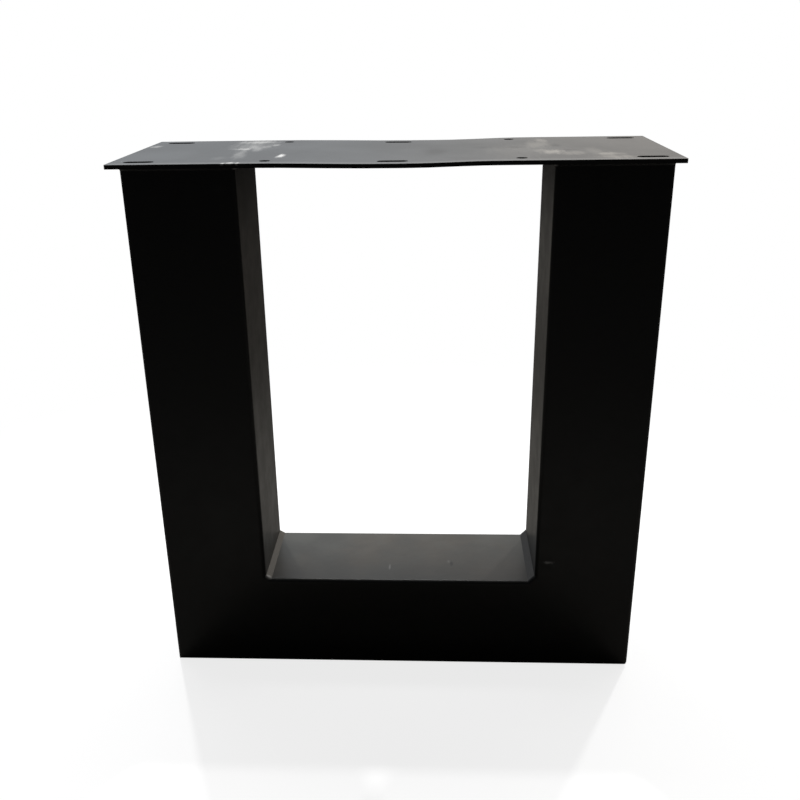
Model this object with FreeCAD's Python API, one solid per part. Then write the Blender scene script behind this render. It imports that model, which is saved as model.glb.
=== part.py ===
import FreeCAD, Part
import os

# A welded U of square hollow section with a flat bar across its top, which screws
# up under a table top. The origin is on the floor, in the middle of the rail.
# X runs along the rail, Y from the front to the back, and Z up. Millimetres.

# The frame, outside sizes
frame_width = 660.0
overall_height = 722.0

# The square hollow section: the side seen from the front, the side seen from the
# end, the wall, and the inside radius of its four corners
section_face = 140.0
section_depth = 140.0
section_wall = 3.0
section_inside_radius = 2.5

# The plate that the table top rests on
plate_length = 658.0
plate_depth = 250.0
plate_thickness = 5.0
plate_corner_radius = 2.0

# Where the heat of welding has drawn the plate down between the uprights: how deep,
# and where the lowest point lies, at the front edge and at the back edge
front_sag_depth = 2.0
front_sag_low_x = 5.0
back_sag_depth = 2.1
back_sag_low_x = 45.0
# The front edge comes level again this far before the right-hand weld
front_sag_early_end = 50.0
sag_clear_of_weld = 2.0

# The screw slots, one at each end and one in the middle of each row, and how far the
# middle of an end slot lies from the plate's end
slot_width = 14.0
slot_length = 36.0
slot_from_end = 34.0
# The round holes, halfway between the slots
hole_diameter = 13.0
# How far the middle of each row lies from the plate's long edge
row_from_edge = 23.0

# The welds in the two inside corners of the U: how far each reaches along the rail, and
# how far it rises up the upright
left_weld_reach = 7.5
left_weld_rise = 4.5
right_weld_reach = 8.5
right_weld_rise = 9.0
# The leg of the fillet weld round the head of each upright
plate_weld_leg = 9.0

# How far the outside mitre corners are ground back
left_corner_grind = 2.0
right_corner_grind = 5.0

# How far a cutting tool reaches past what it cuts
overcut = 10.0

# What follows from the sizes above
section_outside_radius = section_inside_radius + section_wall
frame_height = overall_height - plate_thickness
half_frame = frame_width / 2
half_opening = half_frame - section_face
sag_limit = half_opening - plate_weld_leg - sag_clear_of_weld
blank_half_length = plate_length / 2 + overcut
blank_half_depth = plate_depth / 2 + overcut
end_slot_x = plate_length / 2 - slot_from_end
row_y = plate_depth / 2 - row_from_edge
deepest_sag = max(front_sag_depth, back_sag_depth)
cutter_base = frame_height - deepest_sag - overcut
cutter_height = plate_thickness + deepest_sag + 2 * overcut

left, right = -1, 1


def rounded_block(width, depth, height, radius):
    """A block on the XY plane about the Z axis, with its upright edges rounded."""
    block = Part.makeBox(
        width, depth, height, FreeCAD.Vector(-width / 2, -depth / 2, 0)
    )
    upright_edges = [edge for edge in block.Edges if edge.BoundBox.ZLength > height / 2]
    return block.makeFillet(radius, upright_edges)


def section_outside(length):
    """The outer form of a length of the section, standing on the XY plane."""
    return rounded_block(section_face, section_depth, length, section_outside_radius)


def hollow_section(length):
    """A length of the hollow section, standing on the XY plane."""
    inside = rounded_block(
        section_face - 2 * section_wall,
        section_depth - 2 * section_wall,
        length,
        section_inside_radius,
    )
    return section_outside(length).cut(inside)


def prism_along_y(corners, depth):
    """A prism that runs along Y, from its (x, z) corners."""
    points = [FreeCAD.Vector(x, -depth / 2, z) for x, z in corners]
    outline = Part.makePolygon(points + points[:1])
    return Part.Face(outline).extrude(FreeCAD.Vector(0, depth, 0))


def mitre_tool(side, remove_rail_side):
    """The wedge below, or above, the 45 degree mitre between rail and upright."""
    low = (side * (half_frame + overcut), -overcut)
    high = (side * (half_opening - overcut), section_face + overcut)
    spare = (high[0], low[1]) if remove_rail_side else (low[0], high[1])
    return prism_along_y([low, high, spare], section_depth + 2 * overcut)


def grind_tool(side):
    """What a grinder takes off the outside corner of one mitre."""
    grind = left_corner_grind if side == left else right_corner_grind
    outer_x = half_frame + overcut
    corners = [
        (side * outer_x, -overcut),
        (side * (half_frame - grind - overcut), -overcut),
        (side * outer_x, grind + overcut),
    ]
    return prism_along_y(corners, section_depth + 2 * overcut)


def stand_at(side, piece):
    """Moves a piece that stands about the Z axis to where an upright stands."""
    piece.translate(FreeCAD.Vector(side * (half_frame - section_face / 2), 0, 0))
    return piece


def lay_on_floor(piece):
    """Lays a frame-wide piece that stands about the Z axis along the floor."""
    piece.rotate(FreeCAD.Vector(0, 0, 0), FreeCAD.Vector(0, 1, 0), 90)
    piece.translate(FreeCAD.Vector(-half_frame, 0, section_face / 2))
    return piece


def upright(side):
    """One upright, square at its head and mitred at its foot."""
    tube = stand_at(side, hollow_section(frame_height))
    return tube.cut(mitre_tool(side, True)).cut(grind_tool(side))


def floor_rail():
    """The rail on the floor, mitred at both ends."""
    tube = lay_on_floor(hollow_section(frame_width))
    for side in (left, right):
        tube = tube.cut(mitre_tool(side, False)).cut(grind_tool(side))
    return tube


def sagging_line(y, height, low_x, sag_depth, right_end_x):
    """One long edge of the plate's blank: level, down to the low point, up and level."""

    def point(x, drop):
        return FreeCAD.Vector(x, y, height - drop)

    def level(start_x, end_x):
        return Part.LineSegment(point(start_x, 0), point(end_x, 0)).toShape()

    def slope(start_x, start_drop, end_x, end_drop):
        middle_x = (start_x + end_x) / 2
        curve = Part.BezierCurve()
        curve.setPoles(
            [
                point(start_x, start_drop),
                point(middle_x, start_drop),
                point(middle_x, end_drop),
                point(end_x, end_drop),
            ]
        )
        return curve.toShape()

    return [
        level(-blank_half_length, -sag_limit),
        slope(-sag_limit, 0, low_x, sag_depth),
        slope(low_x, sag_depth, right_end_x, 0),
        level(right_end_x, blank_half_length),
    ]


def plate_outline(y, low_x, sag_depth, right_end_x):
    """The closed outline of the front or back edge of the plate's blank."""
    under = sagging_line(y, frame_height, low_x, sag_depth, right_end_x)
    over = sagging_line(y, overall_height, low_x, sag_depth, right_end_x)
    ends = [
        Part.LineSegment(
            FreeCAD.Vector(x, y, frame_height), FreeCAD.Vector(x, y, overall_height)
        ).toShape()
        for x in (-blank_half_length, blank_half_length)
    ]
    return Part.Wire(Part.__sortEdges__(under + over + ends))


def slot_cutter(x, y):
    """A slot along X through the plate."""
    radius = slot_width / 2
    reach = slot_length / 2 - radius
    middle = Part.makeBox(
        2 * reach, slot_width, cutter_height, FreeCAD.Vector(x - reach, y - radius, cutter_base)
    )
    ends = [
        Part.makeCylinder(radius, cutter_height, FreeCAD.Vector(x + offset, y, cutter_base))
        for offset in (-reach, reach)
    ]
    return middle.multiFuse(ends).removeSplitter()


def hole_cutter(x, y):
    """A round hole through the plate."""
    return Part.makeCylinder(
        hole_diameter / 2, cutter_height, FreeCAD.Vector(x, y, cutter_base)
    )


def top_plate():
    """The slotted plate, level on the uprights and drawn down between them. It is cut
    from a larger blank, which holds the same sag."""
    front = plate_outline(
        -blank_half_depth,
        front_sag_low_x,
        front_sag_depth,
        sag_limit - front_sag_early_end,
    )
    back = plate_outline(blank_half_depth, back_sag_low_x, back_sag_depth, sag_limit)
    blank = Part.makeLoft([front, back], True, True)
    trim = rounded_block(
        plate_length, plate_depth, overall_height + overcut, plate_corner_radius
    )
    plate = blank.common(trim)
    for y in (-row_y, row_y):
        for x in (-end_slot_x, 0, end_slot_x):
            plate = plate.cut(slot_cutter(x, y))
        for x in (-end_slot_x / 2, end_slot_x / 2):
            plate = plate.cut(hole_cutter(x, y))
    return plate


def corner_weld(side):
    """The bead in one inside corner of the U, seated on both tubes and rounded over at
    its ends like the tubes' own corners."""
    reach = left_weld_reach if side == left else right_weld_reach
    rise = left_weld_rise if side == left else right_weld_rise
    toe_x = side * (half_opening - reach)
    buried_x = side * (half_opening + 2 * section_outside_radius)
    buried_z = section_face - 2 * section_outside_radius
    head_z = section_face + rise
    corners = [
        (toe_x, section_face),
        (side * half_opening, head_z),
        (buried_x, head_z),
        (buried_x, buried_z),
        (toe_x, buried_z),
    ]
    bead = prism_along_y(corners, section_depth)
    slanted_ends = [
        edge
        for edge in bead.Edges
        if min(edge.BoundBox.XLength, edge.BoundBox.ZLength) > rise / 2
    ]
    bead = bead.makeFillet(section_outside_radius, slanted_ends)
    bead = bead.cut(stand_at(side, section_outside(frame_height)))
    return bead.cut(lay_on_floor(section_outside(frame_width)))


def bottom_outline(block):
    """The outline of a block's lowest face."""
    lowest = min(block.Faces, key=lambda face: face.CenterOfMass.z)
    return lowest.OuterWire


def plate_weld(side):
    """The fillet weld under the plate, on the three sides of an upright it covers."""
    grown = 2 * plate_weld_leg
    toe = rounded_block(
        section_face + grown,
        section_depth + grown,
        plate_weld_leg,
        section_outside_radius + plate_weld_leg,
    )
    toe_outline = bottom_outline(toe)
    toe_outline.translate(FreeCAD.Vector(0, 0, plate_weld_leg))
    tube = section_outside(plate_weld_leg)
    collar = Part.makeLoft([bottom_outline(tube), toe_outline], True, True)
    bead = stand_at(side, collar.cut(tube))
    bead.translate(FreeCAD.Vector(0, 0, frame_height - plate_weld_leg))
    under_plate = Part.makeBox(
        plate_length,
        plate_depth,
        frame_height,
        FreeCAD.Vector(-plate_length / 2, -plate_depth / 2, 0),
    )
    return bead.common(under_plate)


def export(name, shape):
    shape.exportStep("parts/" + name + ".step")


os.makedirs("parts", exist_ok=True)
export("left_upright", upright(left))
export("right_upright", upright(right))
export("floor_rail", floor_rail())
export("top_plate", top_plate())
export("left_corner_weld", corner_weld(left))
export("right_corner_weld", corner_weld(right))
export("left_plate_weld", plate_weld(left))
export("right_plate_weld", plate_weld(right))
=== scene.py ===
import math

import bpy
from mathutils import Matrix, Vector


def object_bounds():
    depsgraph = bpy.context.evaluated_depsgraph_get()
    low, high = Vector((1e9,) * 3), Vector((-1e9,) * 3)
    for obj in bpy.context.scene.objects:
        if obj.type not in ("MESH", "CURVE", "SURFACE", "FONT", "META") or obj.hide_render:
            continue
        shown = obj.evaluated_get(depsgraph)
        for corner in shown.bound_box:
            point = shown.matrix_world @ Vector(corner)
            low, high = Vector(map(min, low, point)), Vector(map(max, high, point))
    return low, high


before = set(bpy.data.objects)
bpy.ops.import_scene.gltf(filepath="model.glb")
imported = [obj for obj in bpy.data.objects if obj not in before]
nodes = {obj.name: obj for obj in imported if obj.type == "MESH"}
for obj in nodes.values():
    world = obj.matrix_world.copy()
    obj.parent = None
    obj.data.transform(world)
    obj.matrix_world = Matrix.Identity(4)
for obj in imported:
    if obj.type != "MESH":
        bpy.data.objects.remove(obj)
cad_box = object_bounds()

# Metres, in the frame of the part: X along the rail, Y to the back, Z up. No node is
# moved, so each node's own coordinates are the frame's.
rail_corners = [Vector(corner) for corner in nodes["floor_rail"].bound_box]
rail_top = max(corner.z for corner in rail_corners)
rail_front = min(corner.y for corner in rail_corners)
plate_top = cad_box[1][2]
plate_front = cad_box[0][1]

# The camera, where the photograph was taken from, with its angles in radians
camera_place = Vector((0.0471, -1.2070, 0.8540))
camera_yaw = -0.0524
camera_pitch = -0.3960
camera_roll = -0.0179
focal_pixels = 935.9
image_pixels = 800
image_centre_shift = (0.0155, 0.0322)
sensor_mm = 36.0

# Colours, linear
coat_black = (0.0030, 0.0029, 0.0028, 1.0)
# The dust on the top faces of the tubes and welds also paints a sheen on them
warm_coat_dust_and_sheen = (0.046, 0.041, 0.034, 1.0)
cool_coat_dust_and_sheen = (0.040, 0.040, 0.036, 1.0)
# The plate's dust also paints a sheen, and a painted tint of the light: cool and darker on the
# left, warm and brighter on the right
left_plate_dust_sheen_cool_light = (0.062, 0.066, 0.070, 1.0)
right_plate_dust_sheen_warm_light = (0.086, 0.081, 0.076, 1.0)
chalk_white = (0.50, 0.50, 0.49, 1.0)
chalk_beige = (0.46, 0.43, 0.38, 1.0)
hall_floor = (0.106, 0.101, 0.092, 1.0)
far_front_hall_floor = (0.062, 0.061, 0.059, 1.0)
far_left_hall_floor = (0.054, 0.051, 0.046, 1.0)
far_right_hall_floor = (0.018, 0.016, 0.014, 1.0)
background_white = (1.0, 1.0, 1.0, 1.0)
left_tint = (0.94, 0.99, 1.05, 1.0)
right_tint = (1.05, 1.0, 0.93, 1.0)

# Noise: its scale, detail and roughness
peel_noise = (620.0, 2.0, 0.5)
ripple_noise = (90.0, 2.0, 0.5)
tube_dust_noise = (14.0, 5.0, 0.6)
tube_warmth_noise = (6.0, 4.0, 0.6)
tube_gloss_noise = (30.0, 4.0, 0.6)
tube_mark_noise = (260.0, 3.0, 0.6)
plate_dust_noise = (7.0, 5.0, 0.6)
plate_mark_noise = (150.0, 4.0, 0.65)

# How fast noise changes along each axis. The plate's marks are drawn out along Y.
no_stretch = (1.0, 1.0, 1.0)
plate_mark_stretch = (1.0, 0.16, 1.0)

# The coat's relief: how deep it is, and how much the ripple counts beside the peel
coat_relief_depth = 0.00005
ripple_share = 2.0

# The weld bead's ripples along Y, and how deep they are
bead_scale = 65.0
bead_distortion = 3.0
bead_detail = 2.0
bead_depth = 0.0003

# Roughness. The tubes' goes from one value to the other over this stretch of its noise.
tube_roughness = (0.30, 0.38)
tube_gloss_contrast = (0.3, 0.7)
weld_roughness = 0.36
clean_plate_roughness = 0.38
marked_plate_roughness = 0.62

# Where a mark covers this much of the plate, it has the whole roughness of a mark
fully_marked = 0.6

# The Z of a face's normal, from where it counts as upright to where it counts as level
upright_to_level = (0.55, 0.97)

# Dust, which also paints a sheen on the top faces: its thinnest share, and the stretch of
# the noise over which it thickens, and over which it goes from cool to warm
thinnest_dust = 0.7
tube_dust_contrast = (0.35, 0.65)
tube_warmth_contrast = (0.4, 0.6)
plate_dust_contrast = (0.3, 0.7)

# How much of the rail's dust and sheen is left along its front edge, where less of it paints
# the plate's shade, at its right-hand end, which it makes darker, and on the right-hand weld,
# where less of it paints shade, and the Y or X over which it changes
rail_front_painted_shade_share = 0.40
rail_front_painted_shade_y = (-0.075, 0.05)
rail_right_end_darkening_share = 0.75
rail_right_end_darkening_x = (-0.08, 0.19)
right_weld_painted_shade_share = 0.5
weld_painted_shade_x = (-0.1, 0.1)

# The X over which the plate's dust, with its painted sheen and painted light, goes from the
# cool, darker left-hand colour to the warm, brighter right-hand one
plate_painted_light_x = (-0.1, 0.33)

# How pale the painted highlight along the plate's front edge is, and the Y over which it fades
front_edge_painted_highlight = 0.10
front_edge_painted_highlight_y = (plate_front + 0.007, plate_front + 0.019)

# A mark fades from near its middle to past its outline, in shares of its half size
mark_fade = (0.1, 1.3)

# How far up and down from the plate's top face a mark reaches, and how far down its
# front edge the chalk does
mark_reach = 0.05
edge_mark_reach = 0.0025

# How far noise moves the outline of the plate's marks, as a share of their half size
plate_mark_raggedness = 0.9

# Marks on top of the plate: middle x and y, half width, half length, turn in degrees
# and strength. The length runs along Y before the turn. First the chalk.
chalk_marks = {
    "cloud": (-0.187, 0.055, 0.030, 0.055, 0, 0.17),
    "wisps_at_far_edge": (-0.190, 0.101, 0.030, 0.022, 0, 0.42),
    "wisp_at_far_edge": (-0.180, 0.104, 0.010, 0.016, 0, 0.35),
    "streak_core": (-0.184, 0.040, 0.011, 0.046, 12, 0.30),
    "streak_blob": (-0.192, 0.021, 0.012, 0.016, 0, 0.46),
    "streak_blob_edge": (-0.205, 0.023, 0.010, 0.008, 0, 0.24),
    "streak_right": (-0.171, 0.045, 0.012, 0.022, 0, 0.22),
    "fleck_right": (-0.160, 0.063, 0.006, 0.015, 0, 0.30),
    "streak_tail": (-0.190, -0.032, 0.009, 0.050, 6, 0.20),
    "tail_fleck": (-0.208, -0.073, 0.008, 0.018, 0, 0.06),
    "smear": (-0.1362, -0.053, 0.0046, 0.019, 0, 1.0),
    "left_end_smear": (-0.318, 0.060, 0.008, 0.014, 0, 0.35),
}

# Chalk on the plate's front edge
edge_marks = {
    "left": (-0.1925, -0.122, 0.0028, 0.007, 0, 0.80),
    "middle": (-0.184, -0.119, 0.0050, 0.009, 0, 0.75),
    "right": (-0.176, -0.120, 0.0042, 0.007, 0, 0.65),
}

# Dried pale dirt
beige_marks = {
    "haze": (0.150, -0.035, 0.045, 0.090, 0, 0.05),
    "band": (0.178, 0.030, 0.018, 0.055, -10, 0.15),
    "band_head": (0.187, 0.078, 0.010, 0.026, 0, 0.17),
    "sweep_start": (0.175, -0.030, 0.014, 0.022, 0, 0.15),
    "sweep": (0.189, -0.045, 0.016, 0.026, 0, 0.30),
    "sweep_end": (0.210, -0.058, 0.022, 0.020, 0, 0.15),
    "streak": (0.239, -0.048, 0.010, 0.045, 0, 0.09),
    "smear_by_slot": (0.252, -0.070, 0.018, 0.016, 0, 0.24),
    "smear_at_edge": (0.256, -0.100, 0.025, 0.018, 0, 0.20),
}

# Places where the dust is rubbed off
rubbed_marks = {
    "dull_spot": (0.049, -0.014, 0.016, 0.045, 0, 0.30),
    "short_dash": (0.148, 0.006, 0.014, 0.008, 0, 0.45),
    "dash_by_sweep": (0.209, -0.027, 0.016, 0.008, 0, 0.35),
    "dash_by_band": (0.198, 0.022, 0.010, 0.012, 0, 0.35),
    "dash_left": (0.108, 0.012, 0.012, 0.010, 0, 0.25),
}

# Marks on the tubes and welds: the middle, half the size along each axis, turn in
# degrees, raggedness and strength. A strength over 1 gives a mark a harder outline.
pale_tube_marks = {
    "scuff_on_right_upright": ((0.208, rail_front, 0.172), (0.007, 0.01, 0.0024), 0, 0.8, 0.5),
    "smudge_on_left_upright": ((-0.211, rail_front, 0.686), (0.011, 0.01, 0.006), 0, 0.8, 0.012),
    "fleck_on_rail": ((-0.015, -0.033, rail_top), (0.0016, 0.008, 0.004), 0, 0.4, 0.12),
    "rim_of_pit": ((0.0706, -0.016, rail_top), (0.0022, 0.005, 0.004), 0, 0.0, 0.06),
}
black_tube_marks = {
    "pit_in_rail": ((0.0747, -0.0225, rail_top), (0.0022, 0.0065, 0.004), 0, 0.0, 2.0),
}
pale_weld_marks = {
    "nub_on_left_weld": ((-0.186, -0.067, 0.143), (0.005, 0.005, 0.005), 0, 0.0, 0.3),
}

# The white floor, how much of its white near the object is its own glow, which keeps
# the shadow pale, and how far from the object the shadow fades out
floor_radius = 14.0
floor_sides = 96
floor_glow = 0.80
shadow_fade = (0.5, 1.3)

# The dim hall floor that takes the white one's place for light and in reflections: how
# far from the object it fades, and the X and Y over which its far colours change
hall_fade = (0.3, 1.4)
hall_x = (-0.6, 0.6)
front_to_behind_y = (-0.2, 0.5)

# The coat mirrors the world's white at this share of its brightness, behind the object
# only, because the hall that it stood in was dimmer than the white. It doesn't mirror
# the white of the floor, and shows the hall floor instead.
mirrored_world_share = 0.12
mirrored_floor_share = 0.0

# The world's light: its strength from above and from the horizon, how much of that is
# left in front, and the Z, Y and X of a direction over which strength and tint change
sky_level = 0.75
horizon_level = 0.05
front_level = 0.06
horizon_to_sky_z = (0.0, 0.4)
front_to_back_y = (-0.5, 0.6)
tint_x = (-0.35, 0.35)

# The lamps: place, the spot each points at, size, watts, and whether the coat mirrors
# it. The two high behind cast the uprights' shadows on the ends of the rail.
lamps = {
    "overhead": ((0.0, 0.7, 2.6), (0.0, 0.0, 0.3), (2.4, 0.8), 44.0, True),
    "back_left": ((-1.6, 3.4, 2.3), (0.0, 0.0, 0.2), (0.2, 0.2), 190.0, False),
    "back_right": ((2.0, 3.4, 2.3), (0.0, 0.0, 0.2), (0.2, 0.2), 190.0, False),
}

# Where Blender's Mix node has its two colours and the mixed one
mix_colour_inputs = (6, 7)
mix_colour_output = 2


def place_camera():
    """The photograph's camera, from its yaw, pitch and roll."""
    forward = Vector(
        (
            math.sin(camera_yaw) * math.cos(camera_pitch),
            math.cos(camera_yaw) * math.cos(camera_pitch),
            math.sin(camera_pitch),
        )
    )
    level = forward.cross(Vector((0, 0, 1))).normalized()
    upward = level.cross(forward)
    across = level * math.cos(camera_roll) + upward * math.sin(camera_roll)
    upward = upward * math.cos(camera_roll) - level * math.sin(camera_roll)
    data = bpy.data.cameras.new("camera")
    data.sensor_width = sensor_mm
    data.lens = focal_pixels / image_pixels * sensor_mm
    data.shift_x, data.shift_y = image_centre_shift
    camera = bpy.data.objects.new("camera", data)
    turn = Matrix((across, upward, -forward)).transposed().to_4x4()
    camera.matrix_world = Matrix.Translation(camera_place) @ turn
    bpy.context.scene.collection.objects.link(camera)
    bpy.context.scene.camera = camera


class Nodes:
    """A short way to write a node tree."""

    def __init__(self, tree):
        self.tree = tree
        self.tree.nodes.clear()

    def add(self, kind, *values, settings=None, **inputs):
        """A new node. The values feed its inputs in order, and the inputs by name."""
        node = self.tree.nodes.new(kind)
        for name, setting in (settings or {}).items():
            setattr(node, name, setting)
        for socket, value in zip(node.inputs, values):
            self.feed(socket, value)
        for name, value in inputs.items():
            self.feed(node.inputs[name.replace("_", " ")], value)
        return node

    def feed(self, socket, value):
        """Links a socket to another node's output, or gives it a fixed value."""
        if isinstance(value, bpy.types.NodeSocket):
            self.tree.links.new(value, socket)
        else:
            socket.default_value = value

    def number(self, operation, first, *others):
        """Puts numbers together, two at a time."""
        for other in others:
            node = self.add("ShaderNodeMath", first, other, settings={"operation": operation})
            first = node.outputs["Value"]
        return first

    def vector(self, operation, *values):
        """A product of two vectors, or the length of one."""
        node = self.add("ShaderNodeVectorMath", *values, settings={"operation": operation})
        return node.outputs["Value" if operation == "LENGTH" else "Vector"]

    def parts(self, vector):
        """The X, Y and Z of a vector."""
        return self.add("ShaderNodeSeparateXYZ", Vector=vector).outputs

    def place(self):
        """The place of a point, in the object's own coordinates."""
        return self.add("ShaderNodeTexCoord").outputs["Object"]

    def ramp(self, value, span, low=0.0, high=1.0):
        """Goes smoothly from low to high while the value crosses the span."""
        node = self.add(
            "ShaderNodeMapRange",
            settings={"interpolation_type": "SMOOTHSTEP"},
            Value=value,
            From_Min=span[0],
            From_Max=span[1],
            To_Min=low,
            To_Max=high,
        )
        return node.outputs["Result"]

    def mix(self, factor, first, second):
        """The first colour where the factor is 0, and the second where it is 1."""
        node = self.add("ShaderNodeMix", settings={"data_type": "RGBA"}, Factor=factor)
        for index, colour in zip(mix_colour_inputs, (first, second)):
            self.feed(node.inputs[index], colour)
        return node.outputs[mix_colour_output]

    def noise(self, scale, detail, roughness, stretch=no_stretch):
        """Noise from 0 to 1 that is fixed to the object."""
        node = self.add(
            "ShaderNodeTexNoise",
            Vector=self.vector("MULTIPLY", self.place(), stretch),
            Scale=scale,
            Detail=detail,
            Roughness=roughness,
        )
        return node.outputs["Fac"]


def new_material(name):
    """An empty material and its node tree."""
    material = bpy.data.materials.new(name)
    material.use_nodes = True
    return material, Nodes(material.node_tree)


def finish_material(tree, colour, roughness, height, depth):
    """The painted surface itself, from its colour, its roughness and its relief."""
    bump = tree.add("ShaderNodeBump", Height=height, Strength=1.0, Distance=depth)
    paint = tree.add(
        "ShaderNodeBsdfPrincipled",
        Base_Color=colour,
        Roughness=roughness,
        Normal=bump.outputs["Normal"],
    )
    tree.add("ShaderNodeOutputMaterial", Surface=paint.outputs["BSDF"])


def upward_share(tree):
    """1 where a surface faces up, 0 where it stands upright."""
    normal = tree.add("ShaderNodeNewGeometry").outputs["True Normal"]
    return tree.ramp(tree.parts(normal)["Z"], upright_to_level)


def patch(tree, place, middle, half_size, turn, raggedness, break_up):
    """A soft-edged round or long spot: 1 in its middle and 0 outside. The noise named
    break_up makes its outline ragged."""
    mapping = tree.add(
        "ShaderNodeMapping",
        settings={"vector_type": "TEXTURE"},
        Vector=place,
        Location=middle,
        Rotation=(0, 0, math.radians(turn)),
        Scale=half_size,
    )
    distance = tree.vector("LENGTH", mapping.outputs["Vector"])
    if raggedness > 0:
        uneven = tree.number("MULTIPLY", break_up, 2 * raggedness)
        distance = tree.number("ADD", distance, uneven, -raggedness)
    return tree.ramp(distance, mark_fade, 1.0, 0.0)


def marks_share(tree, place, marks, break_up=None):
    """How much of a surface the marks cover: 0 outside them, 1 or more where they hide it."""
    covered = 0.0
    for middle, half_size, turn, raggedness, strength in marks:
        spot = patch(tree, place, middle, half_size, turn, raggedness, break_up)
        covered = tree.number("MAXIMUM", covered, tree.number("MULTIPLY", spot, strength))
    return covered


def on_plate(marks, reach):
    """The plate's marks in the form that marks_share takes."""
    return [
        ((x, y, plate_top), (half_width, half_length, reach), turn, plate_mark_raggedness, strength)
        for x, y, half_width, half_length, turn, strength in marks.values()
    ]


def coat_relief(tree):
    """The orange peel of a powder coat."""
    ripple = tree.number("MULTIPLY", tree.noise(*ripple_noise), ripple_share)
    return tree.number("ADD", tree.noise(*peel_noise), ripple)


def tube_dust_sheen_and_shade(tree, place):
    """How much dust lies on the tubes' top faces, where it also paints a sheen: less along the
    rail's front edge, where that paints the plate's shade, and less towards the right-hand end, so
    darker there.
    """
    settled = tree.ramp(tree.noise(*tube_dust_noise), tube_dust_contrast, thinnest_dust)
    # Painted shade: less dust and sheen along the rail's front edge, under the plate
    front_painted_shade = tree.ramp(tree.parts(place)["Y"], rail_front_painted_shade_y, rail_front_painted_shade_share)
    # Less dust and sheen, so darker, towards the rail's right-hand end
    to_right = tree.ramp(tree.parts(place)["X"], rail_right_end_darkening_x, 1.0, rail_right_end_darkening_share)
    return tree.number("MULTIPLY", upward_share(tree), settled, front_painted_shade, to_right)


def black_coat():
    """Satin black powder coat on the tubes, with dust where it can settle, which also paints a
    sheen on the top faces.
    """
    material, tree = new_material("black_powder_coat")
    place = tree.place()
    warmth = tree.ramp(tree.noise(*tube_warmth_noise), tube_warmth_contrast)
    dust_and_sheen_colour = tree.mix(warmth, cool_coat_dust_and_sheen, warm_coat_dust_and_sheen)
    colour = tree.mix(tube_dust_sheen_and_shade(tree, place), coat_black, dust_and_sheen_colour)
    fine = tree.noise(*tube_mark_noise)
    pale = marks_share(tree, place, pale_tube_marks.values(), fine)
    colour = tree.mix(pale, colour, chalk_white)
    black = marks_share(tree, place, black_tube_marks.values())
    colour = tree.mix(black, colour, coat_black)
    roughness = tree.ramp(tree.noise(*tube_gloss_noise), tube_gloss_contrast, *tube_roughness)
    finish_material(tree, colour, roughness, coat_relief(tree), coat_relief_depth)
    return material


def weld_coat():
    """The same coat over the ripples of a weld bead."""
    material, tree = new_material("coated_weld")
    place = tree.place()
    bead = tree.add(
        "ShaderNodeTexWave",
        settings={"wave_type": "BANDS", "bands_direction": "Y", "wave_profile": "SAW"},
        Vector=place,
        Scale=bead_scale,
        Distortion=bead_distortion,
        Detail=bead_detail,
    )
    # Painted shade: the right-hand weld gets less dust and sheen, so it is darker
    to_right = tree.ramp(tree.parts(place)["X"], weld_painted_shade_x, 1.0, right_weld_painted_shade_share)
    dust_and_sheen = tree.number("MULTIPLY", upward_share(tree), to_right)
    colour = tree.mix(dust_and_sheen, coat_black, warm_coat_dust_and_sheen)
    pale = marks_share(tree, place, pale_weld_marks.values())
    colour = tree.mix(pale, colour, chalk_white)
    finish_material(tree, colour, weld_roughness, bead.outputs["Fac"], bead_depth)
    return material


def plate_chalk_and_edge_highlight(tree, place, up, fine):
    """The chalk on the plate's top and on its front edge, and a painted highlight along the edge.
    """
    smears = marks_share(tree, place, on_plate(chalk_marks, mark_reach), fine)
    chips = marks_share(tree, place, on_plate(edge_marks, edge_mark_reach), fine)
    # Painted highlight: a pale line along the plate's front edge
    edge_highlight = tree.ramp(tree.parts(place)["Y"], front_edge_painted_highlight_y, front_edge_painted_highlight, 0.0)
    return tree.number("MAXIMUM", smears, chips, tree.number("MULTIPLY", edge_highlight, up))


def plate_coat():
    """The plate's coat, dusty on top, where the dust also paints a sheen and a tint of the light,
    with smears of chalk and of dried dirt.
    """
    material, tree = new_material("black_plate_coat")
    place = tree.place()
    up = upward_share(tree)
    mottle = tree.noise(*plate_dust_noise)
    settled = tree.ramp(mottle, plate_dust_contrast, thinnest_dust)
    rubbed = marks_share(tree, place, on_plate(rubbed_marks, mark_reach), mottle)
    dust_and_sheen = tree.number("MULTIPLY", up, settled, tree.number("SUBTRACT", 1.0, rubbed))
    # Painted light: the dust goes from cool and darker on the left to warm and brighter on the
    # right
    to_right = tree.ramp(tree.parts(place)["X"], plate_painted_light_x)
    dust_and_sheen_colour = tree.mix(to_right, left_plate_dust_sheen_cool_light, right_plate_dust_sheen_warm_light)
    colour = tree.mix(dust_and_sheen, coat_black, dust_and_sheen_colour)
    fine = tree.noise(*plate_mark_noise, plate_mark_stretch)
    chalk_and_edge_highlight = plate_chalk_and_edge_highlight(tree, place, up, fine)
    colour = tree.mix(chalk_and_edge_highlight, colour, chalk_white)
    dirt = marks_share(tree, place, on_plate(beige_marks, mark_reach), fine)
    colour = tree.mix(dirt, colour, chalk_beige)
    roughness = tree.ramp(
        tree.number("MAXIMUM", chalk_and_edge_highlight, dirt),
        (0.0, fully_marked),
        clean_plate_roughness,
        marked_plate_roughness,
    )
    finish_material(tree, colour, roughness, coat_relief(tree), coat_relief_depth)
    return material


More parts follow.
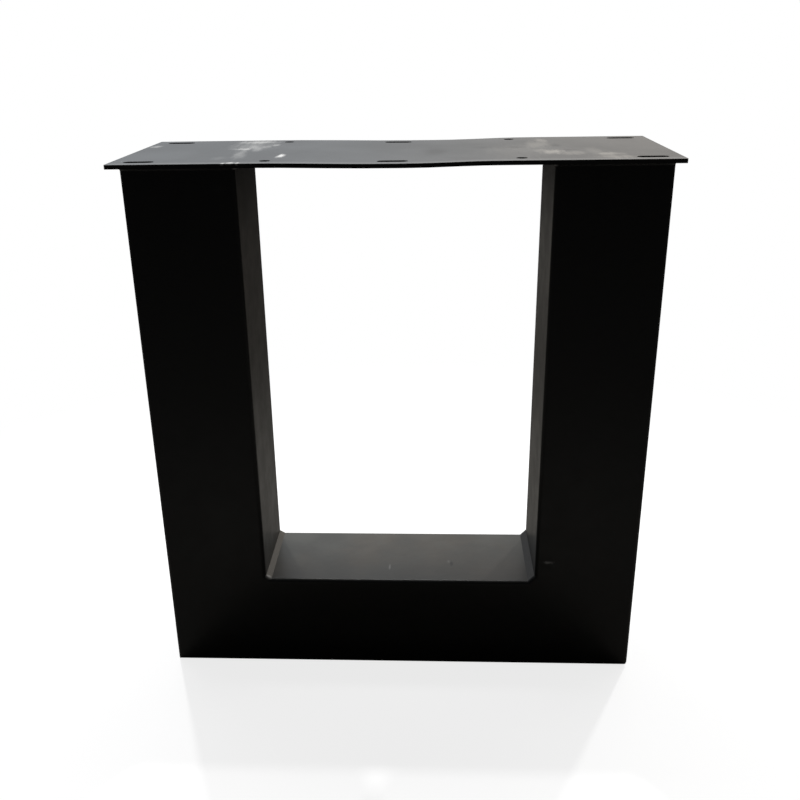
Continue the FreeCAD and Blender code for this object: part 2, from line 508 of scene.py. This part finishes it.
def dress_frame():
    """Gives every CAD node its material."""
    tube = black_coat()
    weld = weld_coat()
    plate = plate_coat()
    finishes = {
        "left_upright": tube,
        "right_upright": tube,
        "floor_rail": tube,
        "top_plate": plate,
        "left_corner_weld": weld,
        "right_corner_weld": weld,
        "left_plate_weld": weld,
        "right_plate_weld": weld,
    }
    for name, material in finishes.items():
        piece = nodes[name]
        piece.data.materials.clear()
        piece.data.materials.append(material)


def seen_share(tree, mirrored):
    """1 where the camera sees a thing, also through glass, a part of that in the coat's
    reflections, and 0 for light."""
    rays = tree.add("ShaderNodeLightPath").outputs
    reflected = tree.number("MULTIPLY", rays["Is Glossy Ray"], mirrored)
    return tree.number(
        "MAXIMUM", rays["Is Camera Ray"], rays["Is Transmission Ray"], reflected
    )


def behind_object(tree, place):
    """0 in front of the object and 1 behind it, for a place or a direction."""
    return tree.ramp(tree.parts(place)["Y"], front_to_behind_y)


def hall_floor_colour(tree, place):
    """The dim hall floor, brightest at the object and darkest far behind it to the right."""
    to_right = tree.ramp(tree.parts(place)["X"], hall_x)
    behind_colour = tree.mix(to_right, far_left_hall_floor, far_right_hall_floor)
    far_colour = tree.mix(behind_object(tree, place), far_front_hall_floor, behind_colour)
    away = tree.ramp(tree.vector("LENGTH", place), hall_fade)
    return tree.mix(away, hall_floor, far_colour)


def white_floor():
    """A pale floor with the object's soft shadow, white like the background far away."""
    bpy.ops.mesh.primitive_circle_add(
        vertices=floor_sides, radius=floor_radius, fill_type="NGON"
    )
    floor = bpy.context.object
    floor.name = "floor"
    material, tree = new_material("pale_floor")
    place = tree.place()
    seen = seen_share(tree, mirrored_floor_share)
    pale = tree.ramp(tree.vector("LENGTH", place), shadow_fade, floor_glow)
    glow = tree.add("ShaderNodeEmission", Strength=tree.number("MULTIPLY", pale, seen))
    grey = tree.number("SUBTRACT", 1.0, pale)
    colour = tree.mix(seen, hall_floor_colour(tree, place), grey)
    matt = tree.add("ShaderNodeBsdfDiffuse", Color=colour)
    both = tree.add("ShaderNodeAddShader", matt.outputs["BSDF"], glow.outputs["Emission"])
    tree.add("ShaderNodeOutputMaterial", Surface=both.outputs["Shader"])
    floor.data.materials.append(material)


def studio_world():
    """White behind the object. Its light comes from above and behind, as in a hall."""
    world = bpy.data.worlds.new("studio")
    world.use_nodes = True
    bpy.context.scene.world = world
    tree = Nodes(world.node_tree)
    direction = tree.add("ShaderNodeTexCoord").outputs["Generated"]
    parts = tree.parts(direction)
    height = tree.ramp(parts["Z"], horizon_to_sky_z, horizon_level, sky_level)
    depth = tree.ramp(parts["Y"], front_to_back_y, front_level)
    light = tree.add(
        "ShaderNodeBackground",
        Color=tree.mix(tree.ramp(parts["X"], tint_x), left_tint, right_tint),
        Strength=tree.number("MULTIPLY", height, depth),
    )
    white = tree.add("ShaderNodeBackground", Color=background_white, Strength=1.0)
    mirrored = tree.number("MULTIPLY", behind_object(tree, direction), mirrored_world_share)
    both = tree.add(
        "ShaderNodeMixShader",
        seen_share(tree, mirrored),
        light.outputs["Background"],
        white.outputs["Background"],
    )
    tree.add("ShaderNodeOutputWorld", Surface=both.outputs["Shader"])


def soft_lamp(name, place, aim, size, power, mirrored):
    """A soft lamp that points at one spot."""
    data = bpy.data.lights.new(name, "AREA")
    data.shape = "RECTANGLE"
    data.size, data.size_y = size
    data.energy = power
    lamp = bpy.data.objects.new(name, data)
    lamp.location = place
    lamp.visible_glossy = mirrored
    lamp.rotation_euler = (Vector(aim) - Vector(place)).to_track_quat("-Z", "Y").to_euler()
    bpy.context.scene.collection.objects.link(lamp)


bpy.context.scene.view_settings.view_transform = "Standard"
place_camera()
dress_frame()
white_floor()
studio_world()
for lamp_name, lamp_settings in lamps.items():
    soft_lamp(lamp_name, *lamp_settings)
